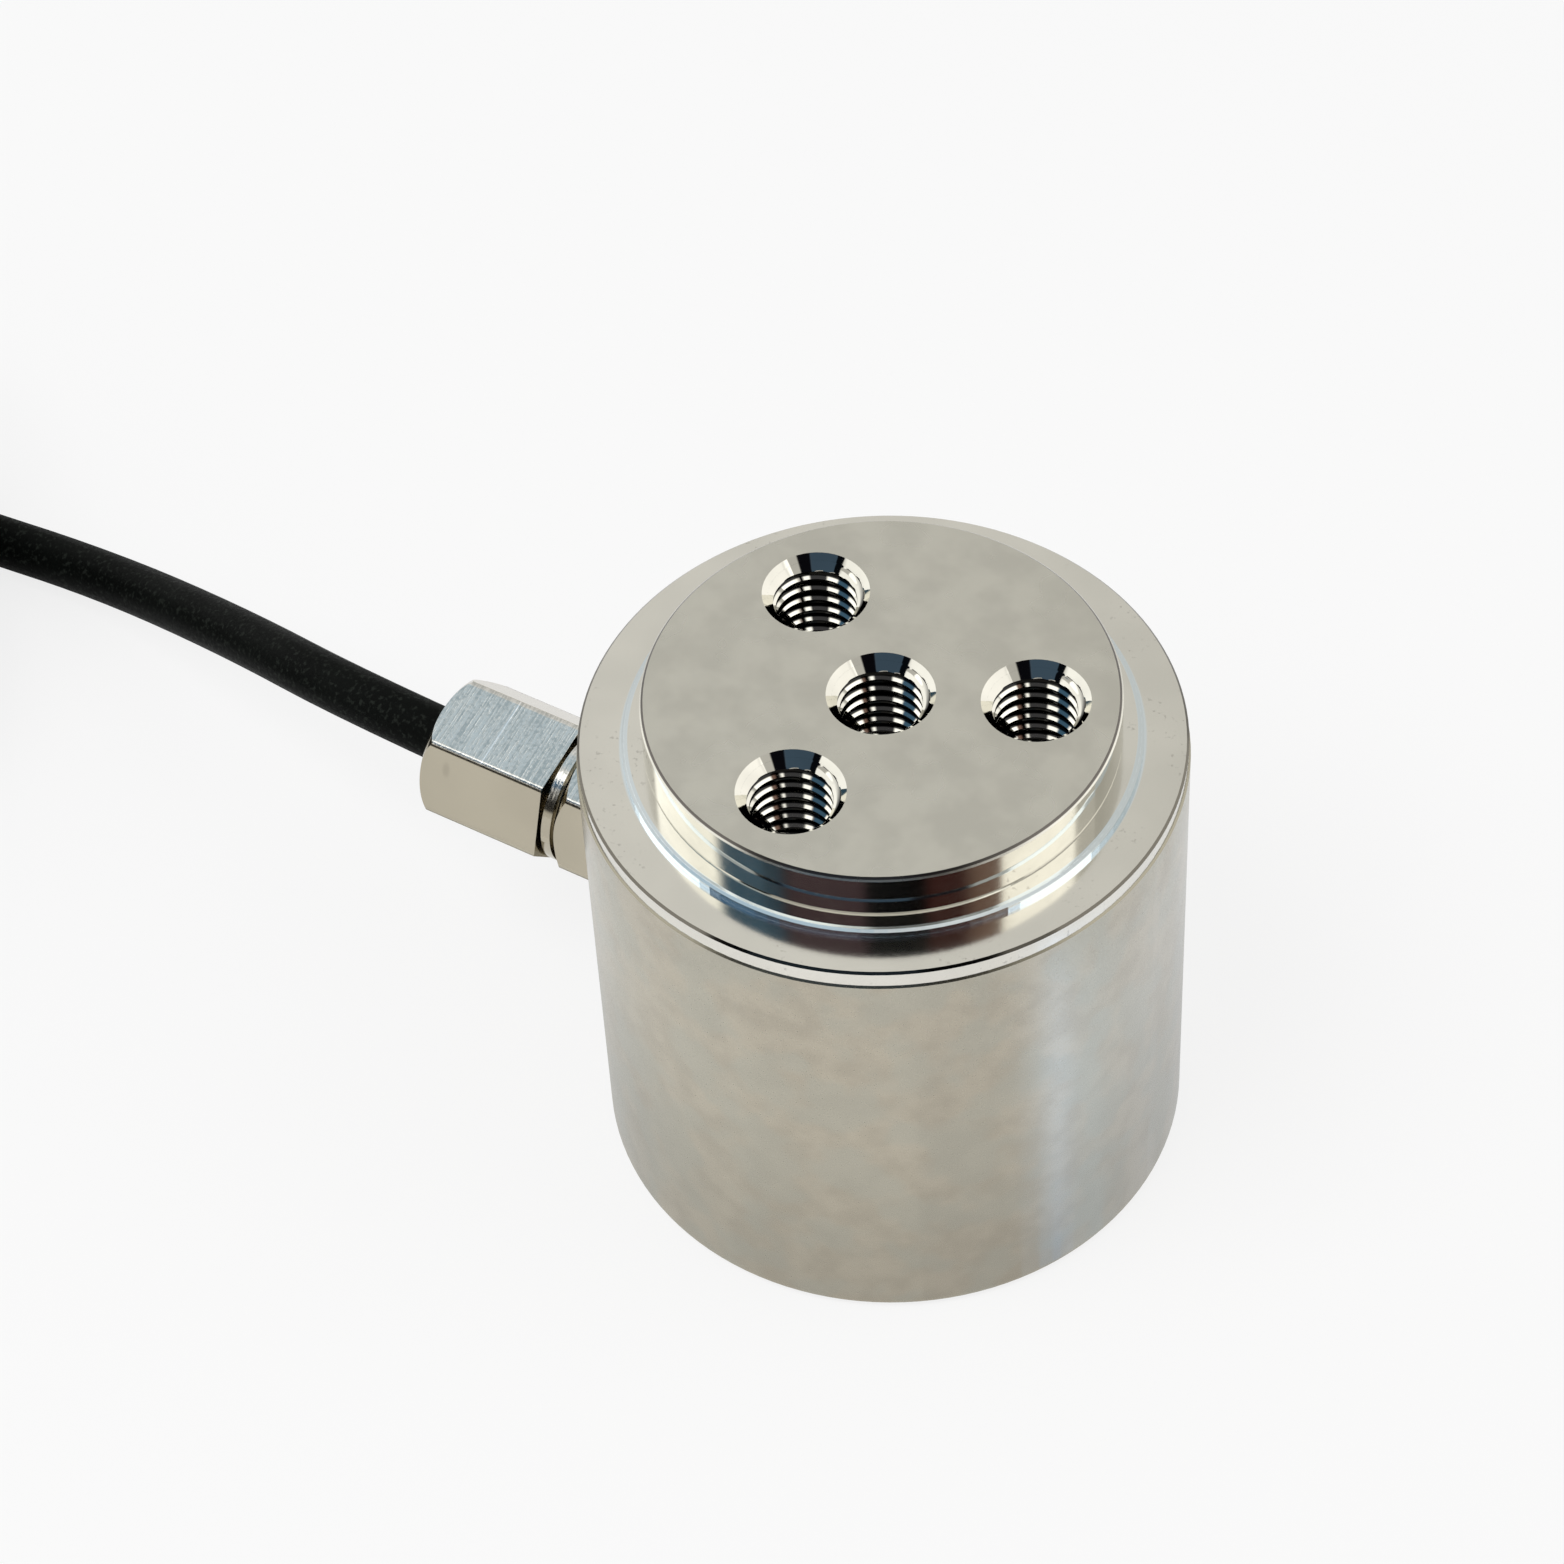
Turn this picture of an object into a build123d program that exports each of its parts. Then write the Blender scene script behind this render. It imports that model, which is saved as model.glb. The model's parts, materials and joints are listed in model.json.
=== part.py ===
from build123d import *
from math import cos, pi, radians, sin, sqrt, tan
import os

# Button load cell with a side cable gland, in millimetres. +Z is up, the origin is the centre of
# the mounting face, and the gland points along -X. The loading boss on top and the mounting face
# below carry the same pattern of tapped holes.

# Load cell body, with the diaphragm's width between the boss and the housing
body_diameter = 50.0
housing_wall = 4.0
housing_lift = 0.3
diaphragm_width = 1.5
boss_rise = 5.0
ring_thickness = 1.5
ring_inset = 0.15
collar_width = 1.7
collar_height = 0.75
edge_break = 0.3
seam_break = 0.2

# Spring element inside the housing, with the gauge space between the column and the housing
base_thickness = 14.0
column_length = 19.0
head_thickness = 17.0
gauge_space = 10.0
flat_depth = 1.0
flat_margin = 2.5
root_fillet = 2.0
groove_depth = 0.9

# Tapped holes, bored to the thread's outer diameter
thread_diameter = 8.0
countersink_width = 0.45
top_thread_depth = 12.0
base_thread_depth = 9.0
drill_point_angle = 118.0
hole_circle = 25.0
hole_count = 3
first_hole_angle = 25.0

# Strain gauges and their circuit
gauge_count = 4
gauge_width = 6.0
gauge_length = 8.0
gauge_thickness = 0.2
terminal_width = 6.4
terminal_length = 2.6
terminal_thickness = 0.25
terminal_margin = 0.8
circuit_thickness = 0.4
circuit_clearance = 0.35
circuit_edge_margin = 0.4
slit_width = 0.8
slit_angle = 45.0
resistor_length = 2.0
resistor_width = 1.25
resistor_height = 0.5
resistor_angles = {
    "zero_trim": 20.0,
    "span_trim": 68.0,
    "zero_temperature": 112.0,
    "span_temperature": 248.0,
}
bridge_wire_diameter = 0.4
bridge_wire_spread = 4.8
bridge_pad_inset = 0.65
solder_height = 0.35
solder_radius = 0.65
solder_taper = 0.8

# Cable
cable_diameter = 5.0
core_diameter = 1.0
core_spacing = 1.2
drain_diameter = 0.6
drain_drop = 1.7
core_pad_spacing = 1.8
core_pad_reach = 2.1
drain_pad_reach = 0.9
wire_bend = 1.1
drain_bend = 0.45

# Cable gland, with its rise above the base flange
gland_rise = 6.0
gland_thread_diameter = 10.0
gland_seat_depth = 1.1
gland_seat_diameter = 14.6
gland_thread_inside = 0.6
washer_thickness = 0.7
washer_diameter = 13.0
gland_across_flats = 12.0
gland_hex_turn = -12.0
gland_hex_length = 5.6
hex_face_margin = 0.1
neck_length = 0.3
neck_diameter = 10.6
shoulder_length = 0.9
shoulder_diameter = 11.9
nut_gap = 0.35
spigot_diameter = 9.0
spigot_length = 7.6
spigot_wall = 0.6
seal_pocket_depth = 5.0
backing_ring_thickness = 0.8
cable_clearance = 0.1
nut_across_flats = 12.0
nut_length = 12.55
nut_lip = 0.3
nut_cone_start = 8.15
nut_cone_length = 1.5
dome_height = 1.35
dome_drop = 1.9
dome_radius = 2.6
seal_lip = 0.7
seal_lip_taper = 0.3
entry_inside = 1.9
entry_in_seal = 3.2

# Route of the cable beyond its straight start at the gland, then the coil and the tail
cable_straight_reach = 54.0
cable_route = [
    (-74.0, 6.8, 12.4),
    (-96.0, 14.2, 3.2),
    (-113.0, 13.8, 2.8),
    (-127.0, 9.6, 4.2),
]
coil_center = (-133.0, -21.5)
coil_inner_turn = 22.8
coil_outer_turn = 35.55
coil_layers = 4
layer_gap = 0.1
coil_corner = 2.3
tie_thickness = 0.9
tie_width = 4.5
tie_angles = [340.0, 232.0]
tie_head = (5.6, 6.2, 3.4)
tie_head_height = 11.0
tail_route = [
    (33.8, 42.0, 18.7),
    (36.4, 59.0, 19.4),
    (39.9, 77.5, 18.6),
    (42.7, 95.0, 16.1),
    (44.5, 112.5, 11.6),
    (44.4, 130.0, 6.6),
    (43.8, 147.0, 3.0),
    (44.3, 160.0, 3.0),
]

# Stripped end of the cable, with each lead's runs as their length, the turn between neighbouring
# leads and the turn that all leads share
boot_wall = 0.5
boot_overlap = 5.5
boot_taper_length = 4.0
boot_tip_diameter = 4.6
lead_diameter = 1.3
lead_spacing = 0.7
lead_rise = 0.7
lead_runs = [
    (5.0, 0.0, 0.0),
    (7.0, 12.0, 10.5),
    (8.0, -6.0, 18.5),
    (7.0, 0.0, 13.5),
]
tip_diameter = 0.7
tip_length = 5.0

# How far a cutting tool runs past the face that it cuts
overrun = 1.0

overall_height = base_thickness + column_length + head_thickness
body_radius = body_diameter / 2
housing_bore_radius = body_radius - housing_wall
boss_radius = housing_bore_radius - diaphragm_width
ring_top = overall_height - boss_rise
ring_bottom = ring_top - ring_thickness
ring_radius = body_radius - ring_inset
collar_radius = boss_radius + collar_width
head_bottom = base_thickness + column_length
column_radius = housing_bore_radius - gauge_space
flat_distance = column_radius - flat_depth
flat_low = base_thickness + flat_margin
flat_high = head_bottom - flat_margin

terminal_low = flat_low + terminal_margin
terminal_middle = terminal_low + terminal_length / 2
gauge_low = terminal_low + terminal_length
circuit_inner = column_radius + root_fillet + circuit_clearance
circuit_outer = housing_bore_radius - circuit_edge_margin
circuit_top = base_thickness + circuit_thickness
wire_foot = circuit_top + solder_height

gland_height = base_thickness + gland_rise
gland_seat_at = body_radius - gland_seat_depth
hex_start = gland_seat_at + washer_thickness
hex_end = hex_start + gland_hex_length
shoulder_start = hex_end + neck_length
shoulder_end = shoulder_start + shoulder_length
spigot_end = shoulder_end + spigot_length
pocket_start = spigot_end - seal_pocket_depth
seal_start = pocket_start + backing_ring_thickness
seal_radius = spigot_diameter / 2 - spigot_wall
nut_start = shoulder_end + nut_gap
nut_end = nut_start + nut_length
nut_hole_radius = seal_radius - nut_lip
cone_start = nut_start + nut_cone_start
cone_end = cone_start + nut_cone_length
thread_end = housing_bore_radius - gland_thread_inside
entry_start = thread_end - entry_inside
entry_end = seal_start + entry_in_seal
seal_end = nut_end + seal_lip

cable_radius = cable_diameter / 2
cable_bore_radius = cable_radius + cable_clearance
layer_pitch = cable_diameter + layer_gap
coil_floor = tie_thickness


def turned(points, plane=Plane.XZ, axis=Axis.Z):
    """Solid of revolution from an outline of (radius or distance, height or radius) points."""
    outline = make_face(Polyline(*points, close=True))
    return revolve(plane * outline, axis)


def annulus(outer, inner, low, high):
    """Ring with a square section, round the Z axis."""
    return turned([(inner, low), (outer, low), (outer, high), (inner, high)])


def polar(radius, angle, z=0.0):
    return Vector(radius * cos(radians(angle)), radius * sin(radians(angle)), z)


def on_gland(shape):
    """Places a piece drawn along +X on the gland's axis, which points along -X."""
    return Location((0, 0, gland_height), (0, 0, 180)) * shape


def along_gland(points):
    return turned(points, Plane.XY, Axis.X)


def tapped_hole(depth):
    """Tool for a countersunk blind hole below z = 0, ending in a drill point."""
    radius = thread_diameter / 2
    point = radius / tan(radians(drill_point_angle / 2))
    return turned([
        (0, overrun),
        (radius + countersink_width + overrun, overrun),
        (radius, -countersink_width),
        (radius, -depth),
        (0, -depth - point),
    ])


def hole_places():
    """Centre and circle places of the tapped holes, seen from above."""
    angles = [first_hole_angle + 360 * i / hole_count for i in range(hole_count)]
    return [Vector(0, 0, 0)] + [polar(hole_circle / 2, angle) for angle in angles]


def bend_radius(before, corner, after):
    """Largest arc that two runs allow at a corner."""
    first = Vector(*corner) - Vector(*before)
    second = Vector(*after) - Vector(*corner)
    turn = radians(first.get_angle(second))
    return 0.45 * min(first.length, second.length) / tan(turn / 2)


def soft_path(points):
    """Straight runs joined by tangent arcs as large as the runs allow."""
    corners = zip(points, points[1:], points[2:])
    return FilletPolyline(*points, radius=[bend_radius(*three) for three in corners])


def swept(path, diameter):
    section = Plane(origin=path @ 0, z_dir=path % 0) * Circle(diameter / 2)
    return sweep(section, path=path)


def spring_element():
    """One turned piece: loading boss, gauged column and base flange."""
    body = turned([
        (0, 0),
        (housing_bore_radius - edge_break, 0),
        (housing_bore_radius, edge_break),
        (housing_bore_radius, base_thickness),
        (column_radius, base_thickness),
        (column_radius, head_bottom),
        (boss_radius, head_bottom),
        (boss_radius, overall_height - edge_break),
        (boss_radius - edge_break, overall_height),
        (0, overall_height),
    ])
    root_circles = body.edges().filter_by(GeomType.CIRCLE).filter_by(
        lambda edge: abs(edge.radius - column_radius) < 0.01)
    body = fillet(root_circles, root_fillet)

    cutter = Box(flat_depth, 2 * column_radius, flat_high - flat_low)
    cutter = Pos(flat_distance + flat_depth / 2, 0, (flat_low + flat_high) / 2) * cutter
    for i in range(gauge_count):
        body -= Rot(0, 0, 360 * i / gauge_count) * cutter

    top_tool = tapped_hole(top_thread_depth)
    base_tool = Rot(180, 0, 0) * tapped_hole(base_thread_depth)
    for place in hole_places():
        body -= Pos(place.X, place.Y, overall_height) * top_tool
        body -= Pos(place.X, place.Y, 0) * base_tool
    return body


def diaphragm_ring():
    """Thin ring welded to the boss and the housing, with a raised collar and a groove below it."""
    ring = turned([
        (boss_radius, ring_bottom),
        (ring_radius, ring_bottom),
        (ring_radius, ring_top - seam_break),
        (ring_radius - seam_break, ring_top),
        (collar_radius, ring_top),
        (collar_radius, ring_top + collar_height - seam_break),
        (collar_radius - seam_break, ring_top + collar_height),
        (boss_radius, ring_top + collar_height),
    ])
    groove = annulus(housing_bore_radius, boss_radius, ring_bottom, ring_bottom + groove_depth)
    return ring - groove


def housing_tube():
    """Thick tube round the column, with a seat and a tapped port for the gland."""
    tube = turned([
        (housing_bore_radius, housing_lift),
        (body_radius - edge_break, housing_lift),
        (body_radius, housing_lift + edge_break),
        (body_radius, ring_bottom - seam_break),
        (body_radius - seam_break, ring_bottom),
        (housing_bore_radius, ring_bottom),
    ])
    reach = body_radius
    port = Cylinder(gland_thread_diameter / 2, reach, rotation=(0, 90, 0))
    seat = Cylinder(gland_seat_diameter / 2, reach, rotation=(0, 90, 0))
    tube -= on_gland(Pos(reach / 2 + boss_radius / 2, 0, 0) * port)
    tube -= on_gland(Pos(gland_seat_at + reach / 2, 0, 0) * seat)
    return tube


def on_flat(index, distance, z, shape):
    """Places a piece, drawn on the YZ plane and thick along +X, on one of the gauge flats."""
    return Rot(0, 0, 360 * index / gauge_count) * Pos(distance, 0, z) * shape


def strain_gauge(index):
    carrier = Box(gauge_thickness, gauge_width, gauge_length)
    middle = gauge_low + gauge_length / 2
    return on_flat(index, flat_distance + gauge_thickness / 2, middle, carrier)


def gauge_terminal(index):
    strip = Box(terminal_thickness, terminal_width, terminal_length)
    return on_flat(index, flat_distance + terminal_thickness / 2, terminal_middle, strip)


def bridge_circuit():
    """Flexible printed ring on the base flange, slit so that it goes round the column."""
    ring = annulus(circuit_outer, circuit_inner, base_thickness, circuit_top)
    slit = Box(circuit_outer, slit_width, 4 * circuit_thickness)
    return ring - Rot(0, 0, slit_angle) * Pos(circuit_outer / 2, 0, base_thickness) * slit


def resistor(angle):
    block = Box(resistor_width, resistor_length, resistor_height)
    middle = (circuit_inner + circuit_outer) / 2
    return Rot(0, 0, angle) * Pos(middle, 0, circuit_top + resistor_height / 2) * block


def down_to_circuit(start, corner_x, foot, diameter, bend=wire_bend):
    """Wire that leaves a face along X, bends down and ends on its solder joint."""
    corner = (corner_x, start[1], start[2])
    path = FilletPolyline(start, corner, (foot[0], foot[1], wire_foot), radius=bend)
    return swept(path, diameter)


def bridge_foot(side):
    """Pad of one gauge wire, for the gauge on the +X side."""
    return (circuit_inner + bridge_pad_inset, side * bridge_wire_spread / 2)


def bridge_wire(index, side):
    foot = bridge_foot(side)
    start = (flat_distance + terminal_thickness, foot[1], terminal_middle)
    wire = down_to_circuit(start, foot[0], foot, bridge_wire_diameter)
    return Rot(0, 0, 360 * index / gauge_count) * wire


def bridge_wires():
    return [bridge_wire(i, side) for i in range(gauge_count) for side in (-1, 1)]


def core_foot(column, side):
    """Pad of one cable core, in two rows of two."""
    x = -entry_start + core_pad_reach + column * core_pad_spacing
    return (x, side * core_pad_spacing / 2)


def inner_core(column, side):
    """Insulated core from the stripped cable end to its pad on the circuit."""
    foot = core_foot(column, side)
    start = (-entry_start, foot[1], gland_height + (column - 0.5) * core_spacing)
    return down_to_circuit(start, foot[0], foot, core_diameter)


def drain_foot():
    return (-entry_start + drain_pad_reach, 0.0)


def inner_drain():
    """Bare shield wire inside the housing."""
    start = (-entry_start, 0.0, gland_height - drain_drop)
    foot = drain_foot()
    return down_to_circuit(start, foot[0], foot, drain_diameter, drain_bend)


def solder_joints():
    """One small cone of solder below each wire's end."""
    feet = [Vector(*core_foot(column, side)) for column in (0, 1) for side in (-1, 1)]
    feet.append(Vector(*drain_foot()))
    for i in range(gauge_count):
        turn = 360 * i / gauge_count
        feet += [Vector(*bridge_foot(side)).rotate(Axis.Z, turn) for side in (-1, 1)]
    cone = Cone(solder_radius, solder_taper * solder_radius, solder_height)
    return [Pos(foot.X, foot.Y, circuit_top + solder_height / 2) * cone for foot in feet]


def hexagon_bar(across_flats, start, end):
    """Hexagonal bar along +X with the gland's turn about its axis."""
    shape = RegularPolygon(across_flats / 2, 6, major_radius=False, rotation=gland_hex_turn)
    return extrude(Plane.YZ.offset(start) * shape, end - start)


def gland_washer():
    return on_gland(along_gland([
        (gland_seat_at, gland_thread_diameter / 2),
        (hex_start, gland_thread_diameter / 2),
        (hex_start, washer_diameter / 2),
        (gland_seat_at, washer_diameter / 2),
    ]))


def gland_body():
    """Threaded gland body: thread, chamfered hexagon, neck, shoulder and hollow spigot."""
    corner_radius = gland_across_flats / sqrt(3)
    flat_radius = gland_across_flats / 2
    chamfer_drop = corner_radius - flat_radius + hex_face_margin
    hexagon = hexagon_bar(gland_across_flats, hex_start, hex_end)
    envelope = along_gland([
        (hex_start, 0),
        (hex_start, corner_radius),
        (hex_end - chamfer_drop, corner_radius),
        (hex_end, corner_radius - chamfer_drop),
        (hex_end, 0),
    ])
    shank = along_gland([
        (thread_end, cable_bore_radius),
        (thread_end, gland_thread_diameter / 2 - edge_break),
        (thread_end + edge_break, gland_thread_diameter / 2),
        (hex_start, gland_thread_diameter / 2),
        (hex_start, cable_bore_radius),
    ])
    outer_part = along_gland([
        (hex_end, cable_bore_radius),
        (hex_end, neck_diameter / 2),
        (shoulder_start, neck_diameter / 2),
        (shoulder_start, shoulder_diameter / 2),
        (shoulder_end, shoulder_diameter / 2),
        (shoulder_end, spigot_diameter / 2),
        (spigot_end, spigot_diameter / 2),
        (spigot_end, seal_radius),
        (pocket_start, seal_radius),
        (pocket_start, cable_bore_radius),
    ])
    bore = along_gland([
        (hex_start, 0),
        (hex_end, 0),
        (hex_end, cable_bore_radius),
        (hex_start, cable_bore_radius),
    ])
    return on_gland((hexagon & envelope) - bore + shank + outer_part)


def gland_backing_ring():
    return on_gland(along_gland([
        (pocket_start, cable_bore_radius),
        (seal_start, cable_bore_radius),
        (seal_start, seal_radius),
        (pocket_start, seal_radius),
    ]))


def gland_seal():
    """Rubber sleeve squeezed round the cable, with a lip that shows outside the nut."""
    cone_slope = nut_cone_length / (spigot_diameter / 2 - nut_hole_radius)
    touch = cone_start + spigot_wall * cone_slope
    return on_gland(along_gland([
        (seal_start, cable_radius),
        (seal_start, seal_radius),
        (touch, seal_radius),
        (cone_end, nut_hole_radius),
        (nut_end, nut_hole_radius),
        (seal_end, nut_hole_radius - seal_lip_taper),
        (seal_end, cable_radius),
    ]))


def gland_nut():
    """Hexagon nut with a domed outer end."""
    corner_radius = nut_across_flats / sqrt(3)
    dome_start = (nut_end - dome_height, corner_radius)
    dome_end = (nut_end, corner_radius - dome_drop)
    outline = Polyline(dome_end, (nut_end, 0), (nut_start, 0), (nut_start, corner_radius), dome_start)
    dome = RadiusArc(dome_start, dome_end, dome_radius)
    envelope = revolve(make_face(outline.edges() + dome.edges()), Axis.X)
    inside = along_gland([
        (nut_start, 0),
        (nut_start, spigot_diameter / 2),
        (cone_start, spigot_diameter / 2),
        (cone_end, nut_hole_radius),
        (nut_end, nut_hole_radius),
        (nut_end, 0),
    ])
    return on_gland((hexagon_bar(nut_across_flats, nut_start, nut_end) & envelope) - inside)


def cable_entry():
    """The cable's jacket through the gland body, up to its stripped end in the housing."""
    length = entry_end - entry_start
    jacket = Cylinder(cable_radius, length, rotation=(0, 90, 0))
    return on_gland(Pos(entry_start + length / 2, 0, 0) * jacket)


def cable_points():
    start = [(-distance, 0.0, gland_height) for distance in (entry_end, cable_straight_reach)]
    return start + cable_route


def tail_points():
    center = Vector(*coil_center)
    return [tuple(center + polar(radius, angle, z)) for radius, angle, z in tail_route]


def coil_section(grow=0.0):
    """Section of the wound coil on the XZ plane, grown outwards by a thickness."""
    inner = coil_inner_turn - cable_radius
    outer = coil_outer_turn + cable_radius
    height = cable_diameter + (coil_layers - 1) * layer_pitch
    section = RectangleRounded(outer - inner + 2 * grow, height + 2 * grow, coil_corner + grow)
    return Plane.XZ * Pos((inner + outer) / 2, coil_floor + height / 2) * section


def cable_coil():
    """Outer shape of the neatly wound length of cable."""
    return Pos(*coil_center) * revolve(coil_section(), Axis.Z)


def coil_tie(angle):
    """Strap round the coil with its locking head on the outside."""
    outer_wall = coil_outer_turn + cable_radius + tie_thickness
    band = extrude(coil_section(tie_thickness), tie_width / 2, both=True)
    depth, width, height = tie_head
    head = Box(depth, width, height)
    head = Pos(outer_wall + depth / 2 - tie_thickness / 2, 0, tie_head_height) * head
    strap = Pos(*coil_center) * Rot(0, 0, angle) * (band + head)
    return strap - cable_coil()


def end_boot(path):
    """Shrunk sleeve over the end of the jacket, drawn in round the leads."""
    radius = cable_radius + boot_wall
    end = boot_overlap + boot_taper_length
    sleeve = turned([
        (cable_radius, 0),
        (radius, 0),
        (radius, boot_overlap),
        (boot_tip_diameter / 2, end),
        (0, end),
        (0, boot_overlap),
        (cable_radius, boot_overlap),
    ])
    start = path @ 1 - (path % 1) * boot_overlap
    return Plane(origin=start, z_dir=path % 1).location * sleeve


def lead_path(path, place):
    """Path of one stripped lead, from the boot's end to the surface below and fanned out there."""
    way = path % 1
    across = Vector(-way.Y, way.X, 0)
    row = Vector(0, 0, lead_rise if place % 2 == 0 else -lead_rise)
    points = [path @ 1 + way * boot_taper_length + across * (place * lead_spacing) + row]
    for i, (run, fan, drift) in enumerate(lead_runs):
        way = way.rotate(Axis.Z, place * fan + drift)
        point = points[-1] + way * run
        height = point.Z if i == 0 else lead_diameter / 2
        points.append(Vector(point.X, point.Y, height))
    return soft_path([tuple(point) for point in points])


def lead_tip(path):
    """Tinned strands beyond the lead's insulation."""
    tip = Cylinder(tip_diameter / 2, tip_length, align=(Align.CENTER, Align.CENTER, Align.MIN))
    return Plane(origin=path @ 1, z_dir=path % 1).location * tip


def write(name, shape):
    """Writes one node; a list becomes one node of separate solids."""
    node = Compound(children=shape) if isinstance(shape, list) else shape
    export_step(node, f"parts/{name}.step")


def round_cable(name, points):
    """Solid of a stretch of cable, with its bends and its volume printed."""
    corners = zip(points, points[1:], points[2:])
    print(name, "bend radii", [round(bend_radius(*three), 1) for three in corners])
    path = soft_path(points)
    tube = swept(path, cable_diameter)
    share = tube.volume / (pi * cable_radius ** 2 * path.length)
    print(name, "length", round(path.length, 1), "volume share", round(share, 4))
    return tube


def main():
    os.makedirs("parts", exist_ok=True)
    write("spring_element", spring_element())
    write("diaphragm_ring", diaphragm_ring())
    write("housing_tube", housing_tube())

    for i in range(gauge_count):
        write(f"strain_gauge_{i + 1}", strain_gauge(i))
        write(f"gauge_terminal_{i + 1}", gauge_terminal(i))
    write("bridge_circuit", bridge_circuit())
    write("bridge_wires", bridge_wires())
    for purpose, angle in resistor_angles.items():
        write(f"{purpose}_resistor", resistor(angle))

    cores = {"red": (0, -1), "black": (0, 1), "green": (1, -1), "white": (1, 1)}
    for colour, (column, side) in cores.items():
        write(f"inner_core_{colour}", inner_core(column, side))
    write("inner_drain_wire", inner_drain())
    write("solder_joints", solder_joints())

    write("gland_washer", gland_washer())
    write("gland_body", gland_body())
    write("gland_backing_ring", gland_backing_ring())
    write("gland_seal", gland_seal())
    write("gland_nut", gland_nut())
    write("cable_entry", cable_entry())

    coil = cable_coil()
    write("cable_tube", round_cable("cable tube", cable_points()) - coil)
    write("cable_coil", coil)
    write("cable_tail", round_cable("cable tail", tail_points()) - coil)
    for i, angle in enumerate(tie_angles):
        write(f"coil_tie_{i + 1}", coil_tie(angle))

    tail_line = soft_path(tail_points())
    write("end_boot", end_boot(tail_line))
    leads = {"red": -2, "black": -1, "drain": 0, "green": 1, "white": 2}
    tips = []
    for colour, place in leads.items():
        path = lead_path(tail_line, place)
        write(f"lead_{colour}", swept(path, lead_diameter))
        tips.append(lead_tip(path))
    write("lead_tips", tips)


main()
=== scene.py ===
import json
from math import ceil, cos, pi, radians, sin

import bmesh
import bpy
from mathutils import Matrix, Vector


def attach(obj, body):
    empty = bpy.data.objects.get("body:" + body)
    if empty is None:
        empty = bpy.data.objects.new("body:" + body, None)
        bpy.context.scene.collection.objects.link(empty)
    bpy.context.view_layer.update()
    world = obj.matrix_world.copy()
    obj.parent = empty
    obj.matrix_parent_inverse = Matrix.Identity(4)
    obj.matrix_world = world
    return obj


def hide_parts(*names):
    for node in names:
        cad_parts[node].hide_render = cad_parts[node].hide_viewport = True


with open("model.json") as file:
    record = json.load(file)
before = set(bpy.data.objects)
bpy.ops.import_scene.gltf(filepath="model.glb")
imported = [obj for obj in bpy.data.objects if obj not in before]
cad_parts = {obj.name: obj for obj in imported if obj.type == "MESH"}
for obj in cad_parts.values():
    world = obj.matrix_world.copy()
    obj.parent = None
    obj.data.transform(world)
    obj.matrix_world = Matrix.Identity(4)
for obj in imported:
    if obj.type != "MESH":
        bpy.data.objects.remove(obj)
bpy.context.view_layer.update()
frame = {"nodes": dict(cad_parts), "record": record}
nodes = frame["nodes"]
scene = bpy.context.scene
scene.view_settings.view_transform = "Standard"

# Sizes and places are in millimetres, or end in "* mm" where they are kept in metres
mm = 0.001

# Camera, fitted to the photograph
camera_place = Vector((135.6, -222.5, 340.0)) * mm
camera_bearing = 123.2
camera_pitch = 49.05
camera_roll = 3.51
camera_lens = 111.6

# Cable, with its tail as radius, angle and height round the coil
cable_diameter = 5.0 * mm
cable_start = (-38.0, 0.0, 20.0)
cable_route = [
    (-54.0, 0.0, 20.4),
    (-74.0, 6.8, 12.7),
    (-96.0, 13.5, 3.3),
    (-114.0, 12.0, 2.7),
    (-130.0, 13.4, 3.2),
]
coil_center = (-133.0, -21.5)
coil_inner_turn = 22.8
coil_outer_turn = 35.55
coil_layers = 4
turns_in_layer = 2.5
layer_pitch = 5.1
first_layer_height = 3.4
coil_start_angle = 90.0
coil_end_angle = 28.0
points_in_turn = 16
climb_turns = 0.25
tail_route = [
    (35.6, 43.0, 18.7),
    (37.2, 60.0, 19.2),
    (39.9, 77.5, 18.6),
    (42.7, 95.0, 16.1),
    (44.5, 112.5, 11.6),
    (44.4, 130.0, 6.6),
    (43.8, 147.0, 3.0),
    (44.3, 160.0, 3.0),
]

# Tapped holes, the threads in them, and where shade is painted in them
body_height = 50.0
body_radius = 25.0
hole_circle = 25.0
hole_count = 3
first_hole_angle = 25.0
mouth_radius = 4.45
thread_pitch = 1.25
thread_outer_radius = 3.995
thread_root_radius = 3.93
thread_crest_radius = 3.35
thread_crest_share = 0.25
thread_flank_share = 0.3125
thread_depths = {"top": 11.4, "base": 8.4}
thread_steps = 96
rows_in_turn = 16
thread_sharp_angle = 28.0
weld_distance = 0.0005
groove_radius = 3.62
groove_fade = 0.05
bore_margins = (0.02, 0.08)
cone_margins = (0.05, 0.25)

# Turned lines and edges of the boss, the collar round it, the ring and the housing, and the bands
# on them where shade and a reflection are painted
# Radius inside which shade is painted on the boss's top chamfer
boss_chamfer_middle = 19.37
boss_chamfer_fade = 0.03
foot_line_height = 45.75
foot_line_width = 0.2
foot_line_slope = 0.34
collar_radius = 21.2
collar_edge_start = 20.75
collar_edge_end = 21.0
collar_edge_slope = 0.08
collar_chamfer_slope = 1.0
# Band round the collar's edge on which a pale blue reflection is painted
collar_painted_reflection_start = 20.65
collar_painted_reflection_end = 21.3
collar_painted_reflection_fade = 0.2
# Ring rim, on whose chamfer shade is painted
ring_rim_start = 23.0
ring_rim_end = 24.0
# Housing edge, on whose chamfer shade is painted
housing_edge_low = 42.0
housing_edge_high = 43.0
polished_share = 0.15

# Gland hexagons, round the X axis at the gland's height
gland_height = 20.0
hexagon_flat_radius = 6.0
hexagon_turn = 102.0
corner_rounding = 0.45
flat_margins = (0.03, 0.01)

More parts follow.
